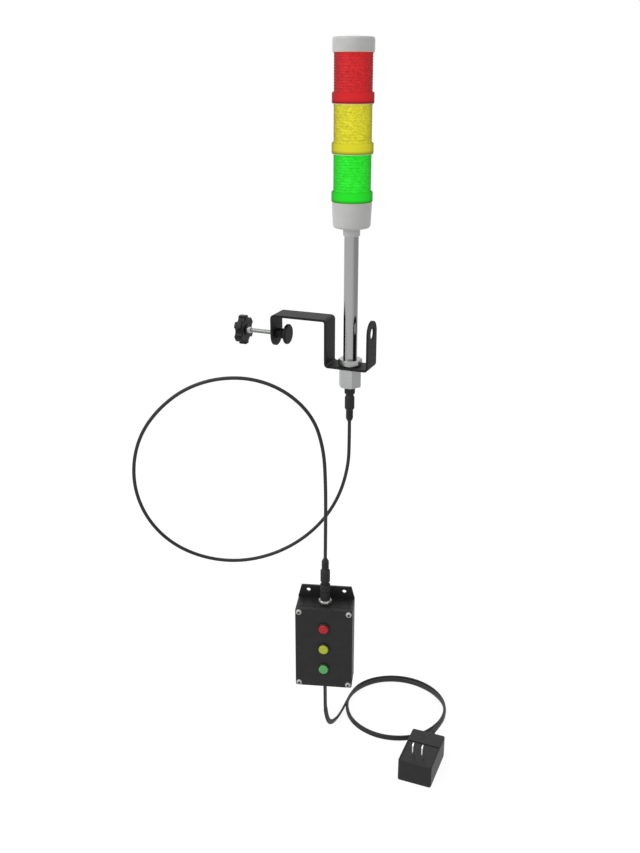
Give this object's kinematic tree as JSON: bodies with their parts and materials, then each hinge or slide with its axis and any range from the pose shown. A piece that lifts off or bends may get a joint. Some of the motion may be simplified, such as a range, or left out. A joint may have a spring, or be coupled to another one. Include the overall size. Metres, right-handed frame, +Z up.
{
  "type": "stack light",
  "caption": "Ribbed signal lamp column on a pole with a screw clamp bracket, a hanging push-button box, joining leads and a plug-in adapter.",
  "frame": {"origin": "middle of the underside of the bracket's top strip, where the bracket sits on the edge of a panel", "axes": "+Z up along the pole, +X along the bracket from the clamp knob towards the pole, +Y away from the viewer"},
  "size_m": [0.4149, 0.2372, 0.921],
  "materials": {
    "grey_plastic": "satin",
    "red_lens": "ribbed, translucent",
    "yellow_lens": "ribbed, translucent",
    "green_lens": "ribbed, translucent",
    "deck_plastic": "satin",
    "circuit_board": "satin",
    "emitter": "gloss",
    "polished_steel": "polished",
    "plated_steel": "satin",
    "cast_zinc": "satin",
    "black_steel": "semi-gloss powder coat",
    "black_plastic": "satin",
    "black_rubber": "matte",
    "lead_jacket": "satin",
    "copper": "satin",
    "blade_metal": "bright",
    "red_button": "satin",
    "yellow_button": "satin",
    "green_button": "satin"
  },
  "bodies": {
    "stand": {"adapter_board": "circuit_board", "adapter_lower": "black_plastic", "adapter_relief": "black_rubber", "adapter_upper": "black_plastic", "base_board": "circuit_board", "blade_carrier": "black_plastic", "box_base": "black_plastic", "box_cover": "black_plastic", "box_grommet": "black_rubber", "box_socket": "black_plastic", "box_socket_nut": "plated_steel", "bracket": "black_steel", "button_bezel_green": "black_plastic", "button_bezel_red": "black_plastic", "button_bezel_yellow": "black_plastic", "button_nuts": "black_plastic", "clamp_boss": "black_steel", "control_board": "circuit_board", "cover_gasket": "black_rubber", "cover_screws": "plated_steel", "hex_coupling": "cast_zinc", "lamp_base": "grey_plastic", "led_board_green": "circuit_board", "led_board_red": "circuit_board", "led_board_yellow": "circuit_board", "led_deck_green": "deck_plastic", "led_deck_red": "deck_plastic", "led_deck_yellow": "deck_plastic", "leds_green": "emitter", "leds_red": "emitter", "leds_yellow": "emitter", "lens_green": "green_lens", "lens_red": "red_lens", "lens_yellow": "yellow_lens", "light_socket": "black_plastic", "lock_nut": "plated_steel", "lower_plug_body": "black_rubber", "lower_plug_nut": "black_plastic", "lower_washer": "plated_steel", "mains_blades": "blade_metal", "pole": "polished_steel", "pole_collar": "grey_plastic", "pole_wires": "copper", "power_lead": "lead_jacket", "signal_lead": "lead_jacket", "socket_gasket": "black_rubber", "switch_bodies": "black_plastic", "tier_seals": "black_rubber", "top_cap": "grey_plastic", "upper_plug_body": "black_rubber", "upper_plug_nut": "black_plastic", "upper_washer": "plated_steel"},
    "clamp_foot": {"clamp_pad": "black_steel", "pad_facing": "black_rubber"},
    "clamp_screw": {"clamp_rod": "plated_steel", "clamp_knob": "black_plastic"},
    "red_button": {"button_cap_red": "red_button"},
    "yellow_button": {"button_cap_yellow": "yellow_button"},
    "green_button": {"button_cap_green": "green_button"}
  },
  "joints": [
    {"name": "clamp_slide", "type": "slide", "parent": "stand", "child": "clamp_foot", "axis": [1, 0, 0], "range_m": [0, 0.033]},
    {"name": "clamp_turn", "type": "hinge", "parent": "clamp_foot", "child": "clamp_screw", "pos_m": [-0.05, 0, -0.025], "axis": [1, 0, 0], "range_deg": [0, 11880]},
    {"name": "red_press", "type": "slide", "parent": "stand", "child": "red_button", "axis": [-0.2672, 0.9636, 0], "range_m": [0, 0.0025], "stiffness_N_per_m": 800, "springref_m": -0.002},
    {"name": "yellow_press", "type": "slide", "parent": "stand", "child": "yellow_button", "axis": [-0.2672, 0.9636, 0], "range_m": [0, 0.0025], "stiffness_N_per_m": 800, "springref_m": -0.002},
    {"name": "green_press", "type": "slide", "parent": "stand", "child": "green_button", "axis": [-0.2672, 0.9636, 0], "range_m": [0, 0.0025], "stiffness_N_per_m": 800, "springref_m": -0.002}
  ],
  "couplings": [
    {"joint": "clamp_turn", "follows": "clamp_slide", "rad_per_m": 6283.2}
  ]
}
